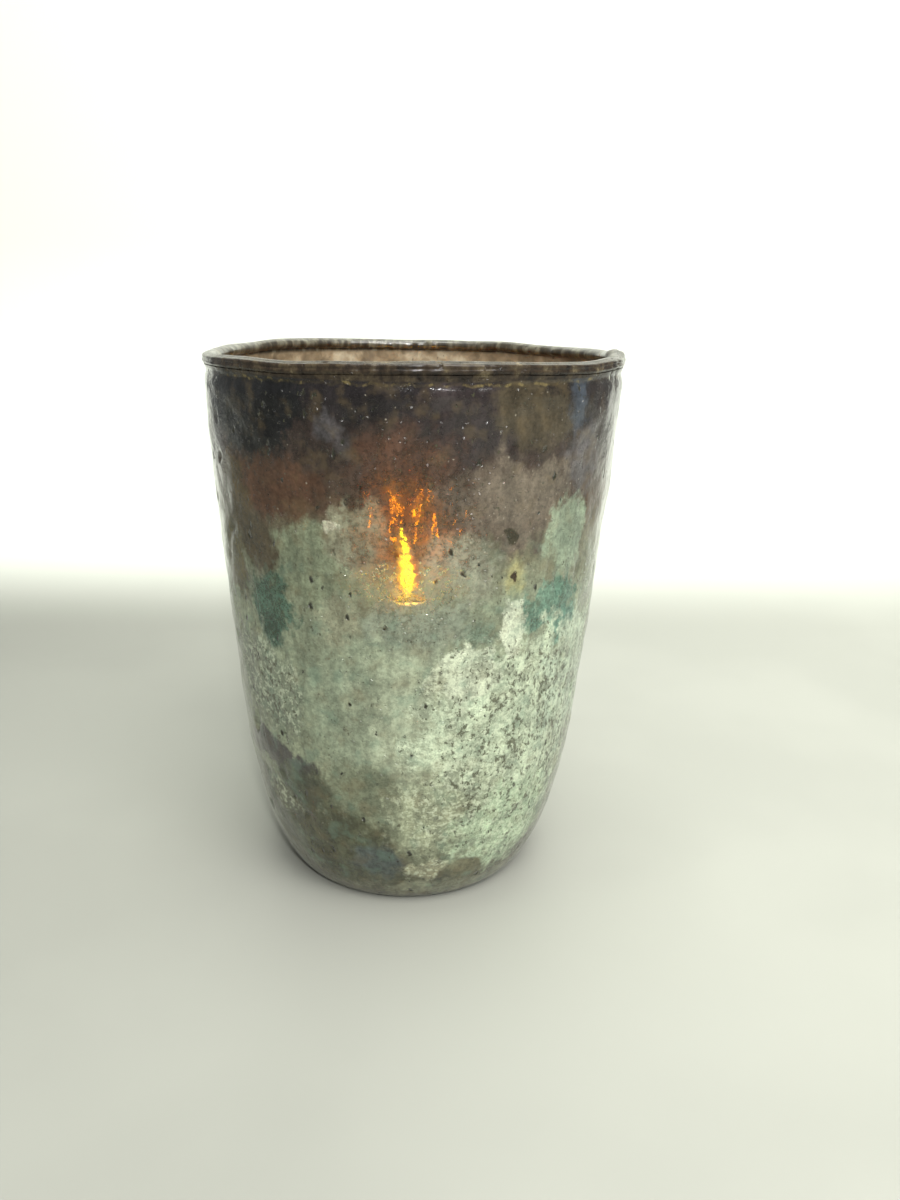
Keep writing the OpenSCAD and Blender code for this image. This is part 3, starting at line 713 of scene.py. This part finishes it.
def sleeve_material():
    """Shrink sleeve of a cell: dark body, one plain band and bare ends."""
    recipe = Recipe("cell_sleeve")
    low, high = (point[2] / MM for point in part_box("battery_left"))
    band = recipe.math("ABSOLUTE", recipe.minus(recipe.height, (low + high) / 2 + 12))
    band = recipe.step(band, 4.2, 4.0)
    base = recipe.mix(band, srgb(30, 40, 52), srgb(196, 128, 44))
    middle = recipe.math("ABSOLUTE", recipe.minus(recipe.height, (low + high) / 2))
    bare = recipe.step(middle, (high - low) / 2 - 1.8, (high - low) / 2 - 1.6)
    base = recipe.mix(bare, base, srgb(190, 188, 182))
    grain = recipe.noise(1.2, detail=2)
    shader = recipe.principled(Base_Color=base, Roughness=recipe.step(grain, 0.3, 0.7, 0.24, 0.34),
                               Metallic=bare, Normal=recipe.bump(grain, 0.03 * MM),
                               Coat_Weight=0.3)
    return recipe.surface(shader)


def lens_material():
    """Clear lamp body with a bright die deep inside it."""
    recipe = Recipe("lamp_lens")
    cloud = recipe.noise(1.0, detail=2)
    shader = recipe.principled(Base_Color=srgb(255, 236, 190), Transmission_Weight=0.6,
                               Roughness=recipe.step(cloud, 0.3, 0.7, 0.04, 0.12),
                               Emission_Color=(1.0, 0.6, 0.2, 1.0), Emission_Strength=4.0)
    return recipe.surface(shader)


def floor_material():
    """Plain pale tabletop, painted lighter towards the right as if lit more from that side, that turns
    lighter where it sweeps up behind.
    """
    stage = bpy.context.scene.holder_stage
    recipe = Recipe("pale_floor")
    side, back, _ = recipe.add("ShaderNodeSeparateXYZ", {0: recipe.place}).outputs
    tone_and_painted_light = recipe.step(recipe.noise(160, detail=3), 0.4, 0.6, 0.97, 1.03)
    # Painted light: the floor grows lighter from left to right, standing in for the light's fall-off.
    tone_and_painted_light = recipe.times(tone_and_painted_light, recipe.step(side, -400, 450, 0.72, 1.3))
    base = recipe.mix(1.0, (*stage.floor, 1.0), grey_of(recipe, tone_and_painted_light), blend="MULTIPLY")
    base = recipe.mix(recipe.step(back, 220, 420), base, (*stage.wall, 1.0))
    return recipe.surface(recipe.principled(Base_Color=base, Roughness=0.5, IOR=1.3))


# ---------------------------------------------------------------- meshes

def new_piece(name, points, faces, slots=None):
    """A smooth-shaded mesh object; slots gives each face's material index."""
    mesh = bpy.data.meshes.new(name)
    mesh.from_pydata(points, [], faces)
    mesh.polygons.foreach_set("use_smooth", [True] * len(faces))
    if slots:
        mesh.polygons.foreach_set("material_index", slots)
    mesh.update()
    piece = bpy.data.objects.new(name, mesh)
    bpy.context.collection.objects.link(piece)
    return piece


def welded(piece):
    """Joins points that coincide, turns the faces outwards and keeps sharp corners sharp."""
    skin = bmesh.new()
    skin.from_mesh(piece.data)
    bmesh.ops.remove_doubles(skin, verts=skin.verts, dist=0.002 * MM)
    bmesh.ops.recalc_face_normals(skin, faces=skin.faces)
    skin.to_mesh(piece.data)
    skin.free()
    piece.data.set_sharp_from_angle(angle=math.radians(50))
    return piece


def revolved(name, outline, segments, shape=None, slots=None):
    """Turns an outline of (radius, height) points round Z. Radius 0 makes a single point.

    shape(point, angle, index) may move a point. slots gives each band's material index."""
    points, rings = [], []
    for index, (radius, height) in enumerate(outline):
        count = 1 if radius == 0 else segments
        ring = []
        for k in range(count):
            angle = 2 * math.pi * k / segments
            point = Vector((radius * math.sin(angle), -radius * math.cos(angle), height))
            if shape:
                point = shape(point, angle, index)
            ring.append(len(points))
            points.append(point)
        rings.append(ring)
    faces, kinds = [], []
    for index, (low, high) in enumerate(zip(rings, rings[1:])):
        for k in range(segments):
            n = (k + 1) % segments
            if len(low) == 1:
                faces.append((low[0], high[n], high[k]))
            elif len(high) == 1:
                faces.append((low[k], low[n], high[0]))
            else:
                faces.append((low[k], low[n], high[n], high[k]))
            kinds.append(slots[index] if slots else 0)
    return welded(new_piece(name, points, faces, kinds))


def arc(middle_r, middle_z, reach, start, end, steps, squash=1.0):
    """Points on an arc, from start to end in degrees, as (radius, height)."""
    turns = [math.radians(start + (end - start) * i / steps) for i in range(steps + 1)]
    return [(middle_r + reach * math.cos(t), middle_z + reach * squash * math.sin(t)) for t in turns]


def rounded(value, low, high):
    """Rises smoothly from 0 to 1 as value goes from low to high."""
    share_up = min(1.0, max(0.0, (value - low) / (high - low)))
    return share_up * share_up * (3 - 2 * share_up)


def give(piece, body, slot, material, *nodes):
    """Rides a piece on its body, hides the nodes that it stands for, and dresses it. slot is not used.
    """
    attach(piece, body)
    if nodes:
        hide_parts(*nodes)
    piece.data.materials.append(material)
    return piece


def dress(node, material):
    """Gives a CAD node that stays a procedural material."""
    slots = frame["nodes"][node].material_slots
    for slot in slots:
        slot.material = material
    if not slots:
        frame["nodes"][node].data.materials.append(material)


# ---------------------------------------------------------------- glass

def lip_wave(angle):
    """How far the lip stands above its mean height at an angle round the rim."""
    waves = ((2, 0.9, 0.5), (3, 2.2, 0.3), (5, 0.6, 0.25), (9, 3.9, 0.1), (17, 1.4, 0.06))
    return sum(size * math.sin(count * angle + phase) for count, phase, size in waves)


def lip_knot(angle):
    """Thickening where the end of the lip's roll overlaps its start."""
    off = (math.degrees(angle) - 88 + 180) % 360 - 180
    return math.exp(-(off / 4.5) ** 2)


def blown(glass, count):
    """A function that gives a revolved point the uneven shape of blown glass."""
    outside, bead, _ = count
    lip_z = GLASS_H - glass.lip / 2

    def shape(point, angle, index):
        radius = math.hypot(point.x, point.y)
        if radius == 0:
            return point
        out = Vector((point.x / radius, point.y / radius, 0))
        height = point.z
        lumps = noise.noise(point / (15 * MM)) + 0.45 * noise.noise(point / (5 * MM))
        long_place = Vector((point.x, point.y, point.z * 0.45)) / (3.0 * MM)
        dents = max(0.0, noise.noise(long_place) - 0.46) * 6
        push = (glass.ripple * lumps - glass.dents * dents) * rounded(height, 2 * MM, 14 * MM)
        rise = glass.lip_wave * lip_wave(angle) * rounded(height, lip_z - 24 * MM, lip_z)
        if outside <= index < outside + bead:
            around = (index - outside) / (bead - 1)
            swell = 0.35 * math.sin(7 * angle + 1) + 0.3 * math.sin(13 * angle)
            upper = math.sin(math.pi * around)
            push += 0.3 * MM * swell * math.sin(2 * math.pi * around)
            rise += (0.25 * swell + 1.0 * lip_knot(angle)) * MM * upper
            push += 0.9 * MM * lip_knot(angle) * math.cos(math.pi * around)
            pleat = max(0.0, math.sin(angle + 0.6)) * math.sin(150 * angle)
            push += 0.1 * MM * pleat * upper
        lean = glass.lean * height / GLASS_H
        return point + out * push + Vector((lean, 0, rise))

    return shape


def glass_outline(glass):
    """The glass's section from the foot's middle, up the outside, over the lip and down again.

    Returns the points and how many belong to the outside, the lip and the inside."""
    reach, squash = glass.lip / 2, 0.74
    lip_r, lip_z = RIM_R - reach, GLASS_H - reach * squash
    foot_r = wall_radius(0)
    neck_z, neck_depth, neck_h = lip_z - 3.2 * MM, 0.8 * MM, 1.7 * MM
    top_z = lip_z - reach * squash * math.sin(math.radians(50))

    outside = [(0, 1.2 * MM), (foot_r - 16 * MM, 1.1 * MM), (foot_r - 10 * MM, 0.6 * MM),
               (foot_r - 8.6 * MM, 0.05 * MM), (foot_r - 6 * MM, 0), (foot_r - 2 * MM, 0)]
    steps = 190
    for i in range(steps):
        height = top_z * (i / (steps - 1)) ** 1.25
        groove = neck_depth * math.exp(-((height - neck_z) / neck_h) ** 2)
        outside.append((wall_radius(height) - groove, height))
    bead = []
    for radius, height in arc(lip_r, lip_z, 1.0, -48, 228, 26):
        turn = math.atan2(height - lip_z, radius - lip_r)
        fold = 0.16 * math.exp(-((math.degrees(turn) - 6) / 13) ** 2)
        fold += 0.12 * math.exp(-((math.degrees(turn) - 64) / 12) ** 2)
        size = reach * (1 - fold)
        bead.append((lip_r + size * math.cos(turn), lip_z + size * squash * math.sin(turn)))
    inside = []
    steps = 104
    for i in range(steps):
        height = top_z + (FLOOR_Z - top_z) * (i / (steps - 1)) ** 0.9
        corner = max(0.0, 1 - (height - FLOOR_Z) / (12 * MM))
        turned_in = 12 * MM * (1 - math.sqrt(max(0.0, 1 - corner * corner)))
        inside.append((wall_radius(height) - glass.wall - turned_in, height))
    inside += [(18 * MM, FLOOR_Z), (8 * MM, FLOOR_Z), (0, FLOOR_Z)]
    return outside, bead, inside


class HOLDER_OT_glass(bpy.types.Operator):
    """Makes the blown glass with its coating, rolled lip and inner silvering"""
    bl_idname = "holder.glass"
    bl_label = "Blown glass"

    def execute(self, context):
        glass = context.scene.holder_glass
        outside, bead, inside = glass_outline(glass)
        count = (len(outside), len(bead), len(inside))
        lip_end = len(outside) + len(bead) // 2
        outline = outside + bead + inside
        slots = [0 if i < lip_end else 1 for i in range(len(outline) - 1)]
        piece = revolved("blown_glass", outline, 300, blown(glass, count), slots)
        give(piece, "vessel", "patina_glass", patina_material(), "glass_vessel")
        piece.data.materials.append(silvering_material())
        return {"FINISHED"}


# ---------------------------------------------------------------- candle

def melted(wax):
    """A function that gives the wax pillar its uneven melted top."""
    def shape(point, angle, index):
        radius = math.hypot(point.x, point.y)
        if radius == 0:
            return point
        out = Vector((point.x / radius, point.y / radius, 0))
        near_top = rounded(point.z, WAX_TOP - 12 * MM, WAX_TOP)
        at_rim = near_top * rounded(radius, 8 * MM, 20 * MM)
        wave = noise.noise(Vector((math.cos(angle), math.sin(angle), 0)) * 1.6)
        wave += 0.5 * noise.noise(Vector((math.cos(angle), math.sin(angle), 3)) * 4)
        lumps = noise.noise(point / (9 * MM)) * 0.12 * MM * rounded(radius, 22 * MM, 24 * MM)
        push = lumps + 0.3 * MM * wave * near_top * rounded(radius, 21 * MM, 25 * MM)
        return point + out * push + Vector((0, 0, wax.melt * (wave - 0.6) * at_rim))
    return shape


class HOLDER_OT_wax(bpy.types.Operator):
    """Makes the hollow wax pillar with its melted dish"""
    bl_idname = "holder.wax"
    bl_label = "Wax pillar"

    def execute(self, context):
        wax = context.scene.holder_wax
        cavity_r = WAX_R - 3.6 * MM
        ceiling = WAX_TOP - wax.dish - 3.6 * MM
        outline = [(cavity_r, ceiling), (cavity_r, FLOOR_Z), (WAX_R - 0.8 * MM, FLOOR_Z)]
        outline += arc(WAX_R - 0.8 * MM, FLOOR_Z + 0.8 * MM, 0.8 * MM, -90, 0, 4)
        side = 40
        low, high = FLOOR_Z + 1.5 * MM, WAX_TOP - 2.4 * MM
        outline += [(WAX_R, low + (high - low) * i / side) for i in range(side)]
        outline += arc(WAX_R - 2.2 * MM, WAX_TOP - 2.2 * MM, 2.2 * MM, 0, 90, 8)
        dish_r = WAX_R - 3.2 * MM
        for i in range(15):
            in_share = i / 14
            radius = dish_r - (dish_r - wax.opening) * in_share
            outline.append((radius, WAX_TOP - wax.dish * (1 - (1 - in_share) ** 2.4)))
        edge = wax.opening, WAX_TOP - wax.dish - 1.0 * MM
        outline += [(edge[0] - 0.25 * MM, edge[1] + 0.5 * MM), (edge[0], edge[1] - 0.6 * MM)]
        outline += [(wax.opening, ceiling), (cavity_r, ceiling)]
        piece = revolved("wax_pillar", outline, 120, melted(wax))
        give(piece, "candle", "wax", wax_material(), "wax_shell")
        return {"FINISHED"}


def flame_rings(flame):
    """Rings of the moulded flame: lens-shaped sections, widest low down, on a leaning line."""
    height = PADDLE_HIGH[2] - SWAY_Z
    thick = 1.05 * MM
    rings = []
    for i in range(1, 30):
        up = i / 30
        width = flame.half_width * math.sin(math.pi * up ** 0.62) ** 0.8
        depth = thick * (0.35 + 0.65 * math.sin(math.pi * up ** 0.7) ** 0.6)
        middle = -flame.lean * up ** 1.6
        rings.append((middle, SWAY_Z + height * up, width, depth))
    return rings


class HOLDER_OT_flame(bpy.types.Operator):
    """Makes the moulded flame with its hub and tail and the magnet, and finishes the wire"""
    bl_idname = "holder.flame"
    bl_label = "Swaying flame"

    def execute(self, context):
        flame = context.scene.holder_flame
        magnet_low, magnet_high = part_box("flame_magnet")
        sides = 28
        seat_r = 2.2 * MM
        tail = [(0, magnet_high[2], seat_r, seat_r),
                (0, magnet_high[2] + 0.9 * MM, seat_r, seat_r),
                (0, magnet_high[2] + 1.2 * MM, 1.2 * MM, 0.9 * MM),
                (0, SWAY_Z - 1.6 * MM, 1.1 * MM, 0.9 * MM), (0, SWAY_Z - 0.6 * MM, 1.4 * MM, 1.2 * MM)]
        rings = tail + flame_rings(flame)
        points, faces = [], []
        for middle, height, width, depth in rings:
            for k in range(sides):
                turn = 2 * math.pi * k / sides
                points.append((middle + width * math.cos(turn), depth * math.sin(turn), height))
        for i in range(len(rings) - 1):
            for k in range(sides):
                n = (k + 1) % sides
                faces.append((i * sides + k, i * sides + n, (i + 1) * sides + n, (i + 1) * sides + k))
        faces.append(tuple(reversed(range(sides))))
        points.append((-flame.lean, 0, PADDLE_HIGH[2]))
        last = (len(rings) - 1) * sides
        faces += [(last + k, last + (k + 1) % sides, len(points) - 1) for k in range(sides)]

        hub_r, hub_l = 1.3 * MM, PADDLE_HIGH[1]
        hub = [(0, -hub_l), *arc(hub_r - 0.3 * MM, -hub_l + 0.3 * MM, 0.3 * MM, -90, 0, 3),
               *arc(hub_r - 0.3 * MM, hub_l - 0.3 * MM, 0.3 * MM, 0, 90, 3), (0, hub_l)]
        start = len(points)
        for radius, along in hub:
            for k in range(sides):
                turn = 2 * math.pi * k / sides
                points.append((radius * math.cos(turn), along, SWAY_Z + radius * math.sin(turn)))
        for i in range(len(hub) - 1):
            for k in range(sides):
                n = (k + 1) % sides
                faces.append((start + i * sides + n, start + i * sides + k,
                              start + (i + 1) * sides + k, start + (i + 1) * sides + n))
        piece = welded(new_piece("flame", points, faces))
        give(piece, "flame", "flame_plastic", flame_material(), "flame_paddle")

        chamfer = 0.3 * MM
        radius = magnet_high[0]
        disc = [(0, magnet_low[2]), (radius - chamfer, magnet_low[2]),
                (radius, magnet_low[2] + chamfer), (radius, magnet_high[2] - chamfer),
                (radius - chamfer, magnet_high[2]), (0, magnet_high[2])]
        magnet = revolved("magnet", disc, 48)
        steel = metal_material("plated_steel", srgb(196, 196, 190), 0.25)
        give(magnet, "flame", "plated_steel", steel, "flame_magnet")
        dress("pivot_wire", steel)
        return {"FINISHED"}


class HOLDER_OT_case(bpy.types.Operator):
    """Finishes the battery case, its door, the cradle and the screws"""
    bl_idname = "holder.case"
    bl_label = "Case and door"

    def execute(self, context):
        white = plastic_material("white_plastic", srgb(232, 229, 220), 0.42)
        for node in ("battery_case", "flame_cradle"):
            dress(node, white)
        dress("battery_door", plastic_material("door_plastic", srgb(226, 223, 214), 0.36))
        screw = metal_material("screw_steel", srgb(206, 204, 196), 0.3)
        for node in ("case_screws", "negative_spring", "positive_contact", "bridge_contact"):
            dress(node, screw)
        return {"FINISHED"}


class HOLDER_OT_cells(bpy.types.Operator):
    """Makes the two cells with their sleeves, seamed ends and buttons"""
    bl_idname = "holder.cells"
    bl_label = "Cells"

    def execute(self, context):
        sleeve = sleeve_material()
        for node, button_up in (("battery_left", False), ("battery_right", True)):
            low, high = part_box(node)
            middle = Vector(((low[0] + high[0]) / 2, 0, 0))
            radius = (high[0] - low[0]) / 2
            length = high[2] - low[2]
            button = 1.2 * MM
            can = length - button
            outline = [(0, 0.25 * MM), (3.0 * MM, 0.25 * MM), (3.4 * MM, 0)]
            outline += arc(radius - 0.5 * MM, 0.5 * MM, 0.5 * MM, -90, 0, 4)
            outline += [(radius, 1.6 * MM), (radius - 0.12 * MM, 1.75 * MM)]
            outline += [(radius - 0.12 * MM, can - 1.75 * MM), (radius, can - 1.6 * MM)]
            outline += arc(radius - 0.5 * MM, can - 0.5 * MM, 0.5 * MM, 0, 90, 4)
            outline += [(3.2 * MM, can), (2.8 * MM, can - 0.3 * MM), (1.9 * MM, can - 0.25 * MM)]
            outline += arc(1.5 * MM, length - 0.3 * MM, 0.3 * MM, 0, 90, 3)
            outline += [(0, length)]
            if button_up:
                placed = [(r, low[2] + z) for r, z in outline]
            else:
                placed = [(r, high[2] - z) for r, z in reversed(outline)]

            def shift(point, angle, index, middle=middle):
                return point + middle

            piece = revolved(node.replace("battery", "cell"), placed, 64, shift)
            give(piece, "candle", "cell_sleeve", sleeve, node)
        return {"FINISHED"}


class HOLDER_OT_electronics(bpy.types.Operator):
    """Finishes the board, coil, lamp, switch and leads"""
    bl_idname = "holder.electronics"
    bl_label = "Electronics"

    def execute(self, context):
        black = plastic_material("black_plastic", srgb(30, 30, 32), 0.4)
        steel = metal_material("switch_steel", srgb(188, 188, 184), 0.28, (0.1, 1.0, 1.0))
        dress("circuit_board", board_material())
        dress("controller_chip", black)
        dress("coil_bobbin", plastic_material("bobbin_plastic", srgb(236, 234, 226), 0.4))
        dress("flame_lamp", lens_material())
        dress("switch_body", steel)
        dress("switch_knob", plastic_material("knob_plastic", srgb(34, 34, 36), 0.45))
        dress("switch_wires", plastic_material("lead_insulation", srgb(172, 34, 26), 0.32))

        low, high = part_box("coil_winding")
        turns = 16
        wire = (high[2] - low[2]) / turns
        outer = high[0] - wire / 2
        outline = [(2.6 * MM, low[2]), (outer, low[2])]
        for i in range(turns):
            outline += arc(outer, low[2] + wire * (i + 0.5), wire / 2, -80, 80, 6)
        outline += [(outer, high[2]), (2.6 * MM, high[2]), (2.6 * MM, low[2])]
        winding = revolved("winding", outline, 64)
        copper = metal_material("enamelled_copper", srgb(198, 112, 62), 0.24, (1.0, 1.0, 1.0))
        give(winding, "candle", "copper", copper, "coil_winding")

        low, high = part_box("filter_capacitor")
        middle = Vector(((low[0] + high[0]) / 2, (low[1] + high[1]) / 2, 0))
        radius = (high[0] - low[0]) / 2
        outline = [(0, low[2]), (radius - 0.3 * MM, low[2])]
        outline += arc(radius - 0.3 * MM, low[2] + 0.3 * MM, 0.3 * MM, -90, 0, 3)
        outline += [(radius, low[2] + 0.9 * MM), (radius - 0.2 * MM, low[2] + 1.2 * MM),
                    (radius, low[2] + 1.5 * MM)]
        outline += arc(radius - 0.3 * MM, high[2] - 0.3 * MM, 0.3 * MM, 0, 90, 3)
        outline += [(radius - 0.8 * MM, high[2] - 0.1 * MM), (0, high[2] - 0.1 * MM)]

        def shift(point, angle, index):
            return point + middle

        can = revolved("capacitor", outline, 48, shift)
        give(can, "candle", "black_plastic", black, "filter_capacitor")
        return {"FINISHED"}


# ---------------------------------------------------------------- stage

def soft_light(name, place, target, size, power, colour):
    """A square soft box that looks at a target."""
    lamp = bpy.data.lights.new(name, "AREA")
    lamp.shape = "SQUARE"
    lamp.size = size
    lamp.energy = power
    lamp.color = colour
    box = bpy.data.objects.new(name, lamp)
    bpy.context.collection.objects.link(box)
    box.location = place
    aim = Vector(target) - Vector(place)
    box.rotation_mode = "QUATERNION"
    box.rotation_quaternion = aim.to_track_quat("-Z", "Y")


class HOLDER_OT_stage(bpy.types.Operator):
    """Makes the pale floor and backdrop, the soft light and the camera"""
    bl_idname = "holder.stage"
    bl_label = "Stage"

    def execute(self, context):
        stage = context.scene.holder_stage
        start, bend, wall_h, steps = 0.44, 0.22, 1.6, 16
        left, right, near, wide = -0.44, 0.6, -2.5, 2.5
        section = [(start + bend * math.sin(t), bend * (1 - math.cos(t)))
                   for t in (math.pi / 2 * i / steps for i in range(steps + 1))]
        section += [(start + bend, wall_h)]
        points = [(x, y, z) for y, z in section for x in (left, right)]
        faces = [(2 * i, 2 * i + 1, 2 * i + 3, 2 * i + 2) for i in range(len(section) - 1)]
        points += [(-wide, near, 0), (wide, near, 0), (wide, start, 0), (-wide, start, 0)]
        corner = len(points) - 4
        faces += [(corner, corner + 1, corner + 2, 1, 0, corner + 3)]
        floor = new_piece("pale_sweep", points, faces)
        floor.data.materials.append(floor_material())

        soft_light("key_light", place=(0.35, -0.75, 1.15), target=(0, 0, 0.08),
                   size=0.8, power=18, colour=(1.0, 0.99, 0.96))
        soft_light("spark_light", place=(0.1, -0.95, 0.72), target=(0, 0, 0.1),
                   size=0.07, power=6, colour=(1.0, 1.0, 0.98))
        soft_light("back_light", place=(0.1, 0.05, 1.5), target=(0.1, 0.66, 0.45),
                   size=0.8, power=14, colour=(0.98, 1.0, 0.95))

        world = bpy.data.worlds.new("room")
        world.use_nodes = True
        sky = world.node_tree.nodes["Background"]
        sky.inputs["Color"].default_value = (0.97, 1.0, 0.97, 1.0)
        sky.inputs["Strength"].default_value = 0.27
        context.scene.world = world
        context.scene.view_settings.view_transform = "Standard"

        lens = bpy.data.cameras.new("view")
        lens.lens = stage.lens
        lens.clip_start = 0.01
        camera = bpy.data.objects.new("view", lens)
        context.collection.objects.link(camera)
        camera.matrix_world = (
            Matrix.Translation((0, -stage.distance, GLASS_H + stage.above))
            @ Matrix.Rotation(-stage.yaw, 4, "Z")
            @ Matrix.Rotation(math.pi / 2 - stage.pitch, 4, "X")
            @ Matrix.Rotation(stage.roll, 4, "Z")
        )
        context.scene.camera = camera
        return {"FINISHED"}


# ---------------------------------------------------------------- panel and main

OPERATORS = (HOLDER_OT_glass, HOLDER_OT_wax, HOLDER_OT_flame, HOLDER_OT_case,
             HOLDER_OT_cells, HOLDER_OT_electronics, HOLDER_OT_stage)
SETTINGS = {"holder_glass": GlassSettings, "holder_wax": WaxSettings,
            "holder_flame": FlameSettings, "holder_stage": StageSettings}


class HOLDER_PT_panel(bpy.types.Panel):
    """Lists the pieces that can be made"""
    bl_idname = "HOLDER_PT_panel"
    bl_label = "Candle Holder"
    bl_space_type = "VIEW_3D"
    bl_region_type = "UI"
    bl_category = "Candle Holder"

    def draw(self, context):
        for operator in OPERATORS:
            self.layout.operator(operator.bl_idname)
        for name in SETTINGS:
            settings = getattr(context.scene, name)
            box = self.layout.box()
            for key in settings.bl_rna.properties.keys():
                if key not in ("rna_type", "name"):
                    box.prop(settings, key)


def register():
    for settings in SETTINGS.values():
        bpy.utils.register_class(settings)
    for name, settings in SETTINGS.items():
        setattr(bpy.types.Scene, name, bpy.props.PointerProperty(type=settings))
    for operator in OPERATORS:
        bpy.utils.register_class(operator)
    bpy.utils.register_class(HOLDER_PT_panel)


def unregister():
    bpy.utils.unregister_class(HOLDER_PT_panel)
    for operator in reversed(OPERATORS):
        bpy.utils.unregister_class(operator)
    for name in SETTINGS:
        delattr(bpy.types.Scene, name)
    for settings in SETTINGS.values():
        bpy.utils.unregister_class(settings)


def main():
    register()
    bpy.ops.holder.glass()
    bpy.ops.holder.wax()
    bpy.ops.holder.flame()
    bpy.ops.holder.case()
    bpy.ops.holder.cells()
    bpy.ops.holder.electronics()
    bpy.ops.holder.stage()


if __name__ == "__main__":
    main()
